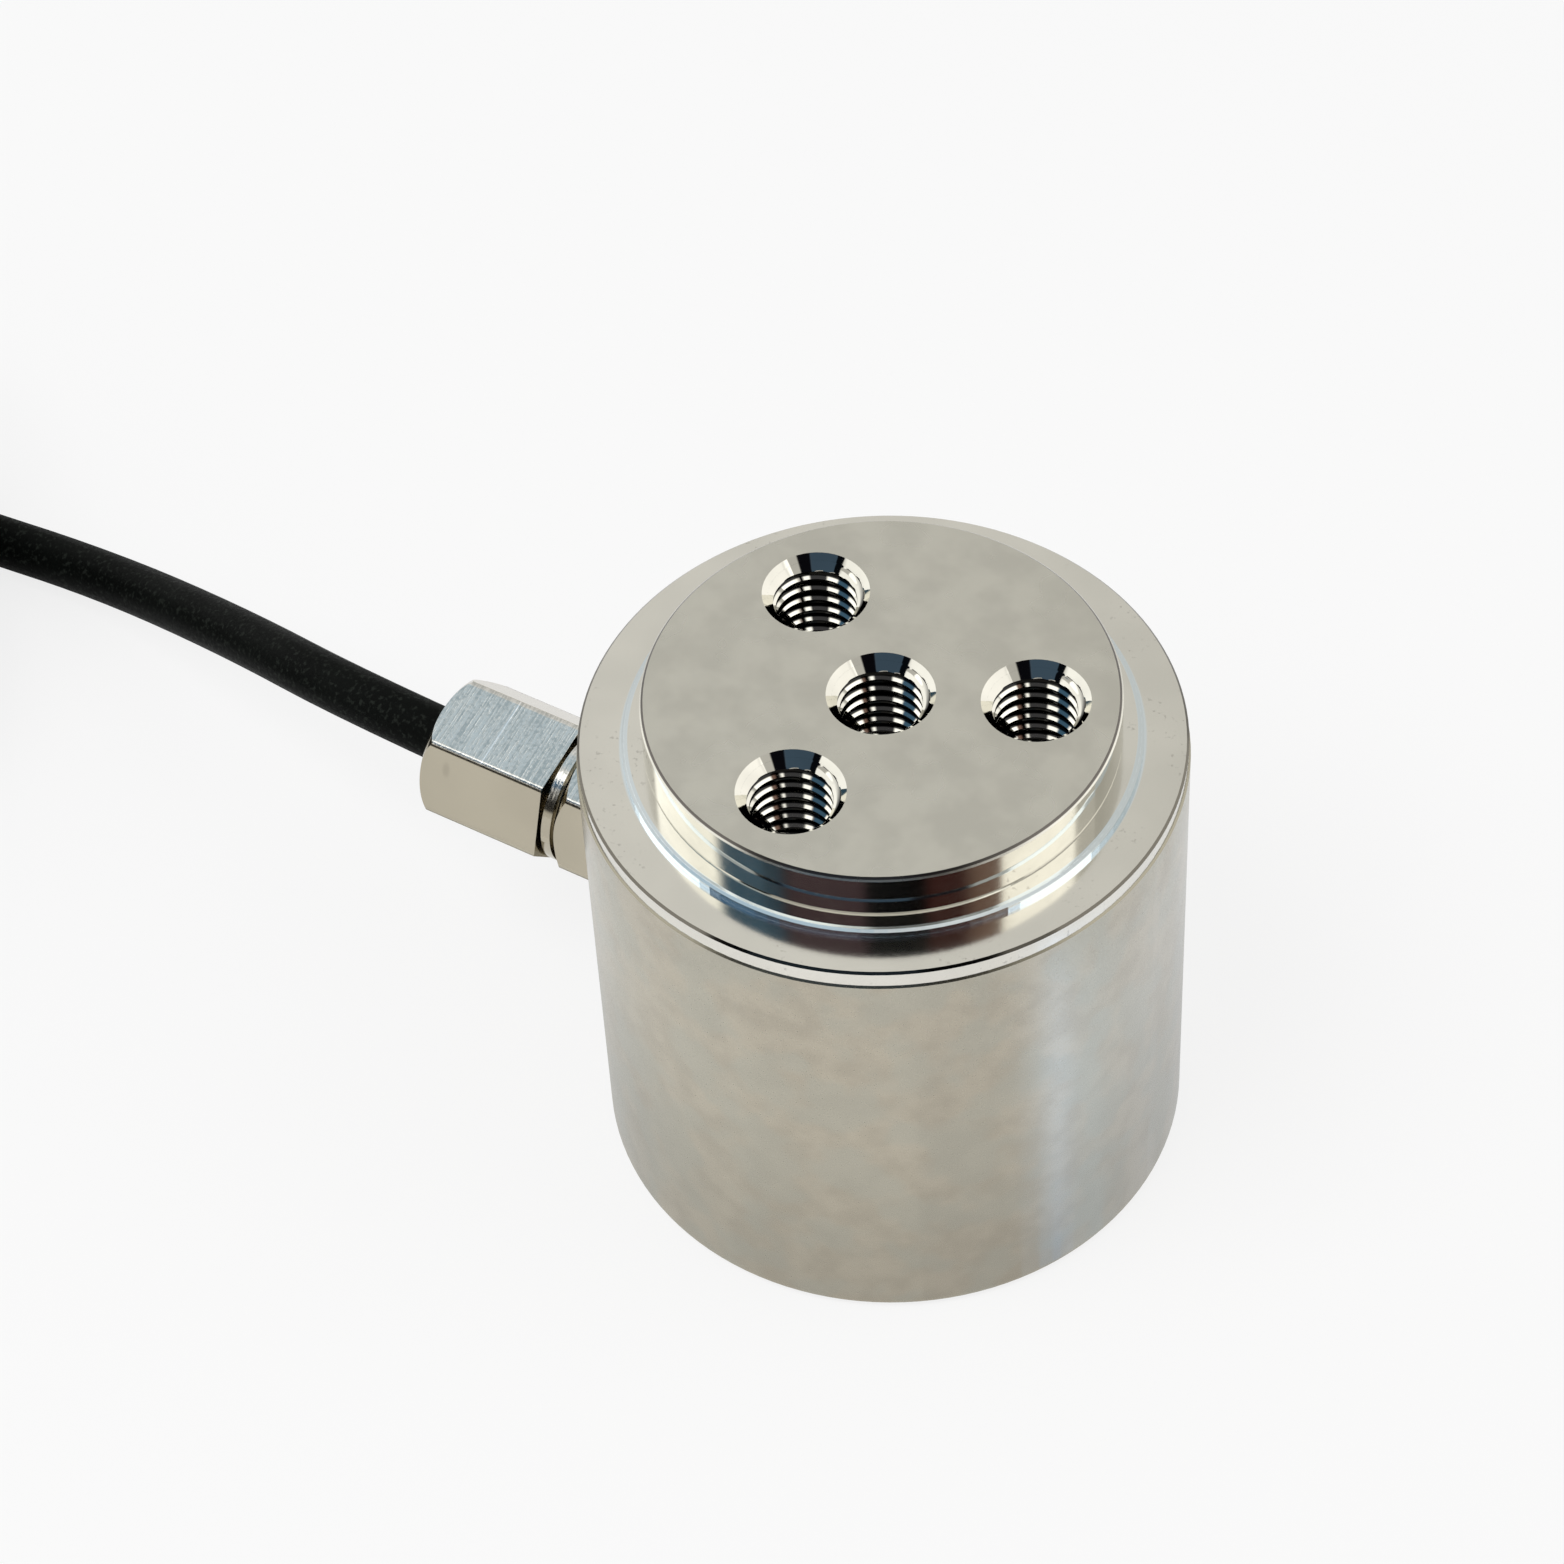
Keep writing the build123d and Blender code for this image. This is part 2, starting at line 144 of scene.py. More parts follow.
# Cutter mark and dent on the gland nut
scratch_place = -38.0
scratch_width = 0.12
scratch_core = 0.03
dent_place = (-41.35, -5.27, 23.2)
dent_radius = 0.55
dent_core = 0.1

# Lines on the gauges and tracks on the circuit inside
gauge_grid_pitch = 0.4
circuit_track_pitch = 0.9

# Surroundings that metal mirrors. Each patch: bearing from the camera's side (right is positive)
# from and to, height above the horizon from and to, angles in which its sides and its top fade,
# and its colour
room_colour = (0.78, 0.77, 0.735)
room_patches = {
    "grey_wall": (-400, 400, 5, 45, 5, 5, (0.68, 0.67, 0.64)),
    "grey_corner": (120, 174, 30, 60, 6, 6, (0.66, 0.65, 0.61)),
    "blue_sky": (-178, -118, 56, 74, 8, 8, (0.50, 0.60, 0.66)),
    "window_left": (-145, -86, 34, 54, 4, 4, (1.9, 1.9, 1.85)),
    "window_left_low": (-145, -60, -10, 34, 4, 4, (1.45, 1.45, 1.42)),
    "ceiling": (-100, 115, 54, 90, 2, 2, (1.8, 1.8, 1.75)),
    "overhead": (-400, 400, 76, 100, 2, 4, (0.95, 0.94, 0.90)),
    "dark_hood": (-30, 30, 60.5, 80, 10, 2, (0.06, 0.06, 0.065)),
    "blue_wall": (-91, 60, 45, 57, 8, 2, (0.060, 0.135, 0.22)),
    "wine_wall": (-54, 60, 45, 57, 8, 2, (0.075, 0.045, 0.056)),
    "dark_wall": (-13, 60, 45, 60, 5, 2, (0.001, 0.001, 0.001)),
    "red_wall": (17, 60, 45, 57, 5, 2, (0.060, 0.020, 0.018)),
    "brown_wall": (38, 64, 45, 57, 12, 2, (0.24, 0.15, 0.12)),
    "dark_shelf": (6, 36, 26, 45, 4, 2, (0.004, 0.004, 0.006)),
    "blue_shelf": (-58, 8, 26, 45, 5, 2, (0.06, 0.10, 0.15)),
    "dark_post": (-64, -50, 8, 50, 2, 2, (0.003, 0.004, 0.006)),
    "window_right": (55, 102, 34, 54, 2, 2, (1.95, 1.93, 1.88)),
    "window_right_low": (55, 140, -10, 34, 2, 4, (1.5, 1.48, 1.44)),
}
# Cards on the floor that the housing's wall mirrors: bearing on the wall from and to, and colour
floor_cards = {
    "left_edge": (-86, -58, (0.92, 0.93, 0.93)),
    "left": (-58, -30, (0.98, 0.975, 0.96)),
    "front_left": (-30, 2, (0.96, 0.945, 0.925)),
    "front_right": (2, 22, (0.88, 0.865, 0.85)),
    "band_near": (22, 26, (0.96, 0.98, 1.02)),
    "band_side": (26, 29, (1.07, 1.17, 1.34)),
    "band": (29, 31, (1.18, 1.34, 1.64)),
    "band_far": (31, 34, (1.10, 1.20, 1.38)),
    "right_near": (34, 42, (1.02, 1.09, 1.19)),
    "right_far": (42, 60, (0.97, 1.00, 1.06)),
    "right_edge": (60, 86, (0.90, 0.92, 0.95)),
}
mirrored_heights = (0.5, 43.0)
card_steps = 8
card_height = 0.2
# Painted shadow on the cards: their glow is dimmer near the housing by this times their brightest
# channel, out to this many housing radii
card_painted_shadow = 0.24
card_painted_shadow_reach = 1.8
floor_size = 4000.0
floor_gap = 0.05
background_level = 0.956
shadow_share = 0.15
mirrored_shadow_share = 0.55
soft_light_level = 0.5
# Lamps: bearing from the camera's side, height above the horizon, distance and size in metres,
# and power in watts
lamps = {
    "key_lamp": (-60, 62, 0.9, 0.5, 3.6),
    "fill_lamp": (80, 45, 1.0, 0.6, 1.4),
}
lamp_target = Vector((0, 0, 20.0)) * mm


class Nodes:
    """Short ways to add shader nodes to one node tree."""

    def __init__(self, tree, coordinates):
        self.tree = tree
        self.coordinates = tree.nodes.new("ShaderNodeTexCoord")
        self.place = self.coordinates.outputs[coordinates]

    def add(self, kind, values, **settings):
        node = self.tree.nodes.new("ShaderNode" + kind)
        for name, value in settings.items():
            setattr(node, name, value)
        for key, value in values.items():
            if isinstance(value, bpy.types.NodeSocket):
                self.tree.links.new(value, node.inputs[key])
            else:
                node.inputs[key].default_value = value
        return node

    def math(self, operation, first, second=0.0):
        return self.add("Math", {0: first, 1: second}, operation=operation).outputs[0]

    def step(self, value, low, high, out_low=0.0, out_high=1.0):
        """Smooth change from out_low to out_high while the value goes from low to high."""
        values = {0: value, 1: low, 2: high, 3: out_low, 4: out_high}
        return self.add("MapRange", values, interpolation_type="SMOOTHSTEP").outputs[0]

    def ramp(self, value, low, high, out_high):
        """Even change from 0 to out_high while the value goes from low to high."""
        return self.add("MapRange", {0: value, 1: low, 2: high, 3: 0.0, 4: out_high}).outputs[0]

    def mix(self, share, first, second):
        return self.add("Mix", {0: share, 6: first, 7: second}, data_type="RGBA").outputs[2]

    def stripes(self, value, pitch, share):
        """Share that is 1 on stripes, which take up a share of each pitch along a value."""
        place = self.math("FRACT", self.math("DIVIDE", value, pitch))
        return self.step(place, share + 0.05, share - 0.05)

    def noise(self, size, stretch=(1, 1, 1), detail=3.0):
        """Noise with patches of about one size, longer where an axis is stretched."""
        scale = [1 / (size * axis) for axis in stretch]
        values = {0: self.place, 1: scale}
        place = self.add("VectorMath", values, operation="MULTIPLY").outputs[0]
        return self.add("TexNoise", {"Vector": place, "Scale": 1.0, "Detail": detail}).outputs[0]

    def axis(self, vector, name):
        return self.add("SeparateXYZ", {0: vector}).outputs[name]


class Finish(Nodes):
    """A material with mottled colour and a fine grain, to which detail is added."""

    def __init__(self, slot, colour, roughness, metallic=0.0, mottle=0.06, mottle_size=8 * mm,
                 grain_size=0.3 * mm, grain_depth=0.01 * mm):
        self.material = bpy.data.materials.new(slot)
        self.material.use_nodes = True
        super().__init__(self.material.node_tree, "Object")
        self.shader = self.tree.nodes["Principled BSDF"]
        self.shader.inputs["Metallic"].default_value = metallic
        self.normal = self.coordinates.outputs["Normal"]
        patches = self.noise(mottle_size, detail=2.0)
        dark = (*[channel * (1 - mottle) for channel in colour], 1)
        pale = (*[min(channel * (1 + mottle), 1) for channel in colour], 1)
        self.colour = self.mix(self.step(patches, 0.3, 0.7), dark, pale)
        grain = self.noise(grain_size)
        self.roughness = self.step(grain, 0.25, 0.75, roughness * 0.88, roughness * 1.12)
        self.height = self.math("MULTIPLY", grain, grain_depth)

    def from_axis(self, x=0.0, y=0.0):
        """Distance from an upright axis."""
        flat = self.add("VectorMath", {0: self.place, 1: (1, 1, 0)}, operation="MULTIPLY")
        values = {0: flat.outputs[0], 1: (x, y, 0)}
        return self.add("VectorMath", values, operation="DISTANCE").outputs["Value"]

    def apply(self):
        shader = self.shader
        self.tree.links.new(self.colour, shader.inputs["Base Color"])
        self.tree.links.new(self.roughness, shader.inputs["Roughness"])
        bump = self.add("Bump", {"Height": self.height, "Distance": 1.0, "Strength": 1.0})
        self.tree.links.new(bump.outputs[0], shader.inputs["Normal"])
        return self.material


def look_axes():
    """Right, down and forward axes of the camera."""
    bearing = radians(camera_bearing)
    pitch = radians(camera_pitch)
    roll = radians(camera_roll)
    forward = Vector((cos(bearing) * cos(pitch), sin(bearing) * cos(pitch), -sin(pitch)))
    level = Vector((sin(bearing), -cos(bearing), 0))
    drop = forward.cross(level)
    right = cos(roll) * level + sin(roll) * drop
    down = -sin(roll) * level + cos(roll) * drop
    return right, down, forward


def make_camera():
    """Camera at the photograph's place and angle."""
    right, down, forward = look_axes()
    data = bpy.data.cameras.new("camera")
    data.lens = camera_lens
    camera = bpy.data.objects.new("camera", data)
    turn = Matrix((right, -down, -forward)).transposed().to_4x4()
    camera.matrix_world = Matrix.Translation(camera_place) @ turn
    scene.collection.objects.link(camera)
    scene.camera = camera


def room_direction(bearing, height):
    """World direction for a bearing from the camera's side and a height above the horizon."""
    angle = radians(camera_bearing + 180 + bearing)
    height = radians(height)
    return Vector((cos(angle) * cos(height), sin(angle) * cos(height), sin(height)))


def wall_mirrored(bearing, height):
    """Place on the floor that the camera sees mirrored in the housing's wall."""
    outward = room_direction(bearing, 0)
    spot = outward * body_radius + Vector((0, 0, height))
    way = spot - camera_place / mm
    way -= 2 * way.dot(outward) * outward
    return (spot - way * (spot.z / way.z)) * mm


def make_card(name, first, last, colour):
    """Glowing card on the floor, seen by metal only, under a stretch of the housing's wall; its
    glow is dimmer near the housing, a painted shadow.
    """
    material = bpy.data.materials.new(name)
    material.use_nodes = True
    card = Nodes(material.node_tree, "Object")
    away = card.add("VectorMath", {0: card.place}, operation="LENGTH").outputs["Value"]
    # Painted shadow: the glow is dimmer near the housing
    near = 1 - card_painted_shadow * max(colour)
    strength = card.step(away, body_radius * mm, card_painted_shadow_reach * body_radius * mm, near, 1.0)
    glow = card.add("Emission", {"Color": (*colour, 1), "Strength": strength}).outputs[0]
    card.tree.links.new(glow, card.tree.nodes["Material Output"].inputs["Surface"])
    build = bmesh.new()
    bearings = [first + (last - first) * i / card_steps for i in range(card_steps + 1)]
    rows = []
    for height in mirrored_heights:
        rows.append([build.verts.new(wall_mirrored(bearing, height)) for bearing in bearings])
    for i in range(card_steps):
        build.faces.new((rows[0][i], rows[0][i + 1], rows[1][i + 1], rows[1][i]))
    plane = make_stage_plane(name, build, material)
    plane.location.z = card_height * mm
    plane.visible_camera = False
    plane.visible_diffuse = False
    plane.visible_shadow = False
    plane.visible_transmission = False


def make_world():
    """Plain soft light, a pale background, and a room of windows and dark walls for metal."""
    world = bpy.data.worlds.new("studio")
    world.use_nodes = True
    scene.world = world
    sky = Nodes(world.node_tree, "Generated")
    front = sky.add("VectorMath", {0: sky.place, 1: room_direction(0, 0)}, operation="DOT_PRODUCT")
    side = sky.add("VectorMath", {0: sky.place, 1: room_direction(90, 0)}, operation="DOT_PRODUCT")
    bearing = sky.math("ARCTAN2", side.outputs["Value"], front.outputs["Value"])
    bearing = sky.math("MULTIPLY", bearing, 180 / pi)
    height = sky.math("ARCSINE", sky.axis(sky.place, "Z"))
    height = sky.math("MULTIPLY", height, 180 / pi)
    colour = (*room_colour, 1)
    for left, right, low, high, side_fade, top_fade, patch_colour in room_patches.values():
        share = 1.0
        spans = (bearing, left, right, side_fade), (height, low, high, top_fade)
        for angle, first, last, fade in spans:
            away = sky.math("ABSOLUTE", sky.math("SUBTRACT", angle, (first + last) / 2))
            reach = (last - first + fade) / 2
            share = sky.math("MULTIPLY", sky.step(away, reach, reach - fade), share)
        colour = sky.mix(share, colour, (*patch_colour, 1))
    path = sky.add("LightPath", {}).outputs
    colour = sky.mix(path["Is Diffuse Ray"], colour, (*[soft_light_level] * 3, 1))
    seen = sky.math("MAXIMUM", path["Is Camera Ray"], path["Is Transmission Ray"])
    colour = sky.mix(seen, colour, (*[background_level] * 3, 1))
    sky.tree.links.new(colour, sky.tree.nodes["Background"].inputs["Color"])


def make_floor():
    """Pale floor, which rays from the camera and from metal see at the background's level."""
    material = bpy.data.materials.new("floor")
    material.use_nodes = True
    floor = Nodes(material.node_tree, "Object")
    path = floor.add("LightPath", {}).outputs
    mirrored = floor.math("MAXIMUM", path["Is Glossy Ray"], path["Is Transmission Ray"])
    mirrored = floor.math("MULTIPLY", mirrored, 1 - mirrored_shadow_share)
    seen = floor.math("MULTIPLY", path["Is Camera Ray"], 1 - shadow_share)
    share = floor.math("MAXIMUM", seen, mirrored)
    level = (*[background_level] * 3, 1)
    paper = floor.add("BsdfDiffuse", {"Color": level}).outputs[0]
    glow = floor.add("Emission", {"Color": level}).outputs[0]
    surface = floor.add("MixShader", {0: share, 1: paper, 2: glow}).outputs[0]
    floor.tree.links.new(surface, floor.tree.nodes["Material Output"].inputs["Surface"])
    build = bmesh.new()
    place = Matrix.Translation((0, 0, -floor_gap * mm))
    bmesh.ops.create_grid(build, x_segments=1, y_segments=1, size=floor_size / 2 * mm,
                          matrix=place)
    make_stage_plane("floor", build, material)


def make_stage_plane(name, build, material):
    """Flat piece of the stage, from the mesh that was built for it."""
    mesh = bpy.data.meshes.new(name)
    build.to_mesh(mesh)
    build.free()
    mesh.materials.append(material)
    plane = bpy.data.objects.new(name, mesh)
    scene.collection.objects.link(plane)
    return plane


def make_lamp(name, bearing, height, distance, size, power):
    """Square lamp, aimed at the body and seen in no reflection."""
    data = bpy.data.lights.new(name, "AREA")
    data.shape = "SQUARE"
    data.size = size
    data.energy = power
    lamp = bpy.data.objects.new(name, data)
    direction = room_direction(bearing, height)
    lamp.location = lamp_target + direction * distance
    lamp.rotation_euler = direction.to_track_quat("Z", "Y").to_euler()
    lamp.visible_glossy = False
    lamp.visible_camera = False
    scene.collection.objects.link(lamp)


def coil_points():
    """Control points of the coil's turns, layer by layer, in and out."""
    total_turns = coil_layers * turns_in_layer
    total_turns -= (coil_start_angle - coil_end_angle) / 360
    count = round(total_turns * points_in_turn)
    stretch = 1 / cos(pi / points_in_turn)
    points = []
    for i in range(1, count + 1):
        turn = total_turns * i / count
        layer = min(int(turn / turns_in_layer), coil_layers - 1)
        share = turn / turns_in_layer - layer
        if layer % 2 == 0:
            share = 1 - share
        radius = coil_inner_turn + share * (coil_outer_turn - coil_inner_turn)
        level = 0.0
        for change in range(1, coil_layers):
            climb = (turn - change * turns_in_layer) / climb_turns + 0.5
            level += min(max(climb, 0), 1)
        angle = radians(coil_start_angle + 360 * turn)
        points.append((
            coil_center[0] + stretch * radius * cos(angle),
            coil_center[1] + stretch * radius * sin(angle),
            first_layer_height + layer_pitch * level,
        ))
    return points


def tail_points():
    """Control points of the tail, which leaves the top layer and comes down beside the coil."""
    points = []
    for radius, angle, height in tail_route:
        x = coil_center[0] + radius * cos(radians(angle))
        y = coil_center[1] + radius * sin(radians(angle))
        points.append((x, y, height))
    return points


def make_cable():
    """The whole cable as one smooth line, from the gland through the coil to its boot.

    Its points hold its radius, because a curve's bounds grow by the radius of its points."""
    points = [cable_start] + cable_route + coil_points() + tail_points()
    curve = bpy.data.curves.new("cable", "CURVE")
    curve.dimensions = "3D"
    curve.bevel_depth = 1.0
    curve.bevel_resolution = 5
    curve.resolution_u = 6
    curve.use_fill_caps = True
    spline = curve.splines.new("NURBS")
    spline.points.add(len(points) - 1)
    for point, place in zip(spline.points, points):
        point.co = (*(Vector(place) * mm), 1)
        point.radius = cable_diameter / 2
    spline.order_u = 3
    spline.use_endpoint_u = True
    cable = bpy.data.objects.new("cable", curve)
    scene.collection.objects.link(cable)
    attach(cable, "root")
    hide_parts("cable_tube", "cable_coil", "cable_tail")
    return cable


def thread_radius(depth, turn, deepest):
    """Radius of the hole at a depth below its face, cone, thread and run-out together."""
    place = (depth / thread_pitch + turn) % 1
    from_crest = min(max(place - thread_crest_share, 0), max(1 - place, 0))
    share = min(from_crest / thread_flank_share, 1)
    radius = thread_crest_radius + share * (thread_root_radius - thread_crest_radius)
    radius = min(radius, thread_crest_radius + deepest - depth)
    return max(radius, mouth_radius - depth)


def make_thread(name, place, face_height, way, deepest):
    """Sleeve in a tapped hole, with a helical thread inside."""
    top = mouth_radius - thread_outer_radius
    last_row = ceil((deepest - top) / thread_pitch * rows_in_turn) + rows_in_turn
    build = bmesh.new()

    def point(radius, turn, depth):
        angle = 2 * pi * turn * way
        x = place[0] + radius * cos(angle)
        y = place[1] + radius * sin(angle)
        return build.verts.new(Vector((x, y, face_height - way * depth)) * mm)

    def circle(radius, depth):
        return [point(radius, i / thread_steps, depth) for i in range(thread_steps)]

    rows = []
    for k in range(last_row + 1):
        row = []
        for i in range(thread_steps):
            turn = i / thread_steps
            depth = top + thread_pitch * (k / rows_in_turn - turn)
            depth = min(max(depth, top), deepest)
            row.append(point(thread_radius(depth, turn, deepest), turn, depth))
        rows.append(row)
    for k in range(last_row):
        for i in range(thread_steps - 1):
            build.faces.new((rows[k][i], rows[k][i + 1], rows[k + 1][i + 1], rows[k + 1][i]))
        upper = max(k - rows_in_turn, 0)
        lower = max(k + 1 - rows_in_turn, 0)
        if upper == lower:
            build.faces.new((rows[k][-1], rows[upper][0], rows[k + 1][-1]))
        else:
            build.faces.new((rows[k][-1], rows[upper][0], rows[lower][0], rows[k + 1][-1]))
    outer_top = circle(thread_outer_radius, top)
    outer_end = circle(thread_outer_radius, deepest)
    inner_end = circle(thread_crest_radius, deepest)
    for i in range(thread_steps):
        j = (i + 1) % thread_steps
        build.faces.new((outer_top[j], outer_top[i], outer_end[i], outer_end[j]))
        build.faces.new((outer_end[j], outer_end[i], inner_end[i], inner_end[j]))
    bmesh.ops.remove_doubles(build, verts=build.verts, dist=weld_distance * mm)
    bmesh.ops.recalc_face_normals(build, faces=build.faces)
    mesh = bpy.data.meshes.new(name)
    build.to_mesh(mesh)
    build.free()
    mesh.shade_smooth()
    mesh.set_sharp_from_angle(angle=radians(thread_sharp_angle))
    thread = bpy.data.objects.new(name, mesh)
    scene.collection.objects.link(thread)
    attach(thread, "root")
    return thread


def hole_places():
    """Centres of the tapped holes, the middle one first."""
    places = [(0.0, 0.0)]
    for i in range(hole_count):
        angle = radians(first_hole_angle + 360 * i / hole_count)
        places.append((hole_circle / 2 * cos(angle), hole_circle / 2 * sin(angle)))
    return places


def make_threads():
    """One threaded sleeve in each hole of the top and of the base."""
    threads = []
    for face, face_height, way in (("top", body_height, 1), ("base", 0.0, -1)):
        for i, spot in enumerate(hole_places()):
            name = f"{face}_thread_{i}"
            threads.append(make_thread(name, spot, face_height, way, thread_depths[face]))
    return threads


def element_steel():
    """Satin turned face; the boss wall, chamfers and threads are polished, with painted shade in
    the holes' thread grooves and upright walls, and a painted dark line on the boss's top chamfer.
    """
    finish = Finish("element_steel", (0.625, 0.61, 0.55), 0.26, 1.0, mottle=0.055,
                    mottle_size=3.5 * mm, grain_size=0.2 * mm, grain_depth=0.00015 * mm)
    up = finish.math("ABSOLUTE", finish.axis(finish.normal, "Z"))
    face = finish.step(up, 0.80, 0.98)
    away = from_holes(finish)
    near, far = bore_margins
    bore = finish.step(away, (mouth_radius + far) * mm, (mouth_radius + near) * mm)
    chamfer = finish.math("MULTIPLY", slanted(finish), finish.step(bore, 1, 0))
    polish = finish.step(chamfer, 0, 1, polished_share, 1)
    polish = finish.math("MAXIMUM", polish, face)
    satin = finish.step(finish.noise(5 * mm, detail=2.0), 0.3, 0.7, 0.24, 0.28)
    finish.roughness = finish.math("MULTIPLY", satin, polish)
    finish.height = finish.math("MULTIPLY", finish.height, face)
    z = finish.axis(finish.place, "Z")
    line = finish.ramp(z, foot_line_height * mm, (foot_line_height + foot_line_width) * mm,
                       -foot_line_slope * foot_line_width * mm)
    finish.height = finish.math("ADD", finish.height, line)
    # Painted shade: a dark line painted on the upper half of the boss's top chamfer
    inner_half = finish.step(finish.from_axis(), (boss_chamfer_middle + boss_chamfer_fade) * mm,
                             (boss_chamfer_middle - boss_chamfer_fade) * mm)
    painted_shade_edge = finish.math("MULTIPLY", chamfer, inner_half)
    finish.colour = finish.mix(painted_shade_edge, finish.colour, (0.12, 0.11, 0.10, 1))
    # Painted shade in the holes: their thread grooves, off the countersink cone, and their upright
    # walls are painted nearly black
    middle = body_height / 2 * mm
    height = finish.math("SUBTRACT", z, middle)
    depth = finish.math("SUBTRACT", middle, finish.math("ABSOLUTE", height))
    near, far = cone_margins
    off_cone = finish.step(finish.math("ADD", away, depth), (mouth_radius + near) * mm,
                           (mouth_radius + far) * mm)
    painted_groove_shade = finish.step(away, (groove_radius - groove_fade) * mm,
                         (groove_radius + groove_fade) * mm)
    painted_groove_shade = finish.math("MULTIPLY", painted_groove_shade, off_cone)
    dark = finish.math("MAXIMUM", finish.step(up, 0.6, 0.4), painted_groove_shade)
    dark = finish.math("MULTIPLY", dark, bore)
    finish.colour = finish.mix(dark, finish.colour, (0.02, 0.02, 0.02, 1))
    return finish.apply()


def slanted(finish):
    """Share that is 1 on surfaces between upright and level, such as chamfers."""
    up = finish.math("ABSOLUTE", finish.axis(finish.normal, "Z"))
    return finish.math("MULTIPLY", finish.step(up, 0.4, 0.6), finish.step(up, 0.95, 0.85))


def from_holes(finish):
    """Distance from the nearest tapped hole's axis."""
    nearest = 1.0
    for x, y in hole_places():
        nearest = finish.math("MINIMUM", finish.from_axis(x * mm, y * mm), nearest)
    return nearest


def ring_steel():
    """Fine turned ring with small marks along its rim, a painted dark line on its rim chamfer, and
    a painted pale blue reflection round the collar's edge.
    """
    finish = Finish("ring_steel", (0.74, 0.725, 0.67), 0.12, 1.0, mottle=0.04,
                    grain_size=0.3 * mm, grain_depth=0.0004 * mm)
    away = finish.from_axis()
    collar = finish.ramp(away, collar_edge_start * mm, collar_edge_end * mm,
                         -collar_edge_slope * (collar_edge_end - collar_edge_start) * mm)
    finish.height = finish.math("ADD", finish.height, collar)
    bright_edge = finish.ramp(away, collar_edge_end * mm, collar_radius * mm,
                              collar_chamfer_slope * (collar_radius - collar_edge_end) * mm)
    finish.height = finish.math("ADD", finish.height, bright_edge)
    # Painted shade: a dark line painted on the ring's rim chamfer
    rim = finish.step(away, ring_rim_start * mm, ring_rim_end * mm)
    painted_shade_edge = finish.math("MULTIPLY", slanted(finish), rim)
    marks = finish.step(finish.noise(0.5 * mm, detail=4.0), 0.60, 0.70)
    where = finish.step(finish.noise(6 * mm, detail=1.0), 0.50, 0.62)
    marks = finish.math("MULTIPLY", marks, where)
    finish.colour = finish.mix(finish.math("MULTIPLY", marks, 0.35), finish.colour,
                               (0.30, 0.29, 0.27, 1))
    finish.colour = finish.mix(painted_shade_edge, finish.colour, (0.14, 0.13, 0.11, 1))
    # Painted reflection: a pale blue band painted round the collar's edge
    outside = finish.step(away, collar_painted_reflection_start * mm, collar_edge_start * mm)
    inside = finish.step(away, (collar_painted_reflection_end + collar_painted_reflection_fade) * mm, collar_painted_reflection_end * mm)
    painted_collar_reflection = finish.math("MULTIPLY", outside, inside)
    finish.colour = finish.mix(painted_collar_reflection, finish.colour, (0.74, 0.81, 0.85, 1))
    return finish.apply()


def housing_steel():
    """Satin steel, a little warmer in some patches and greener in others, with a painted dark line
    on its top chamfer.
    """
    finish = Finish("housing_steel", (0.455, 0.42, 0.345), 0.25, 1.0, mottle=0.06,
                    mottle_size=3 * mm, grain_size=0.25 * mm, grain_depth=0.001 * mm)
    green = finish.step(finish.noise(5 * mm, detail=2.0), 0.42, 0.60, 0.0, 0.6)
    finish.colour = finish.mix(green, finish.colour, (0.43, 0.425, 0.365, 1))
    # Painted shade: a dark line painted on the housing's top chamfer
    top = finish.step(finish.axis(finish.place, "Z"), housing_edge_low * mm,
                      housing_edge_high * mm)
    painted_shade_edge = finish.math("MULTIPLY", slanted(finish), top)
    finish.colour = finish.mix(painted_shade_edge, finish.colour, (0.30, 0.28, 0.22, 1))
    return finish.apply()


